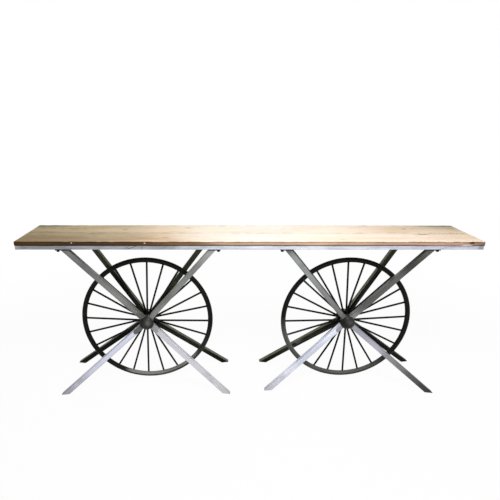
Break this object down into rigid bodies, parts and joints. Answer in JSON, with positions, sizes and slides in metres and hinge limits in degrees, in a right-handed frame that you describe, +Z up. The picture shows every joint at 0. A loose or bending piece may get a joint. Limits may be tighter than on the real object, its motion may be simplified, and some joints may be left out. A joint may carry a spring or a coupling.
{
  "type": "wagon wheel console table",
  "caption": "Long narrow console table with a plank top on a steel frame, carried by legs that spread from the hubs of two free-turning spoked iron wheels.",
  "frame": {"origin": "on the floor under the middle of the top", "axes": "+X along the table, -Y towards the viewer of the picture, +Z up; the wheels' axles run along Y"},
  "size_m": [2.14, 0.3182, 0.8],
  "materials": {
    "plank_wood": "worn reclaimed planks, clear matt oil",
    "galvanised_frame": "blotchy galvanised, satin",
    "zinc_screws": "zinc plated",
    "dark_steel": "black oxide",
    "bare_steel": "mill scale brushed back, clear coated",
    "rear_leg_paint": "dark olive-grey, satin",
    "black_iron": "black, low satin",
    "charcoal_iron": "dark charcoal, rough satin",
    "bush_bronze": "turned bronze",
    "axle_steel": "bright bar"
  },
  "bodies": {
    "table": {"board_screws": "zinc_screws", "front_board": "plank_wood", "front_rail": "galvanised_frame", "left_axle": "axle_steel", "left_axle_nuts": "axle_steel", "left_cross_bar": "galvanised_frame", "left_end_rail": "galvanised_frame", "left_front_boss": "charcoal_iron", "left_front_cap": "charcoal_iron", "left_front_inner_leg_plate": "dark_steel", "left_front_lower_inner_leg": "bare_steel", "left_front_lower_outer_leg": "bare_steel", "left_front_outer_leg_plate": "dark_steel", "left_front_upper_inner_leg": "bare_steel", "left_front_upper_outer_leg": "bare_steel", "left_rear_boss": "charcoal_iron", "left_rear_cap": "charcoal_iron", "left_rear_inner_leg_plate": "dark_steel", "left_rear_lower_inner_leg": "rear_leg_paint", "left_rear_lower_outer_leg": "rear_leg_paint", "left_rear_outer_leg_plate": "dark_steel", "left_rear_upper_inner_leg": "rear_leg_paint", "left_rear_upper_outer_leg": "rear_leg_paint", "middle_cross_bar": "galvanised_frame", "plate_bolts": "dark_steel", "rail_nuts": "dark_steel", "rear_board": "plank_wood", "rear_rail": "galvanised_frame", "right_axle": "axle_steel", "right_axle_nuts": "axle_steel", "right_cross_bar": "galvanised_frame", "right_end_rail": "galvanised_frame", "right_front_boss": "charcoal_iron", "right_front_cap": "charcoal_iron", "right_front_inner_leg_plate": "dark_steel", "right_front_lower_inner_leg": "bare_steel", "right_front_lower_outer_leg": "bare_steel", "right_front_outer_leg_plate": "dark_steel", "right_front_upper_inner_leg": "bare_steel", "right_front_upper_outer_leg": "bare_steel", "right_rear_boss": "charcoal_iron", "right_rear_cap": "charcoal_iron", "right_rear_inner_leg_plate": "dark_steel", "right_rear_lower_inner_leg": "rear_leg_paint", "right_rear_lower_outer_leg": "rear_leg_paint", "right_rear_outer_leg_plate": "dark_steel", "right_rear_upper_inner_leg": "rear_leg_paint", "right_rear_upper_outer_leg": "rear_leg_paint"},
    "left_wheel": {"left_rim": "black_iron", "left_spokes": "black_iron", "left_hub_barrel": "black_iron", "left_bushes": "bush_bronze"},
    "right_wheel": {"right_rim": "black_iron", "right_spokes": "black_iron", "right_hub_barrel": "black_iron", "right_bushes": "bush_bronze"}
  },
  "joints": [
    {"name": "left_wheel_spin", "type": "hinge", "parent": "table", "child": "left_wheel", "pos_m": [-0.5115, 0, 0.339], "axis": [0, 1, 0], "continuous": true},
    {"name": "right_wheel_spin", "type": "hinge", "parent": "table", "child": "right_wheel", "pos_m": [0.5115, 0, 0.339], "axis": [0, 1, 0], "continuous": true}
  ]
}
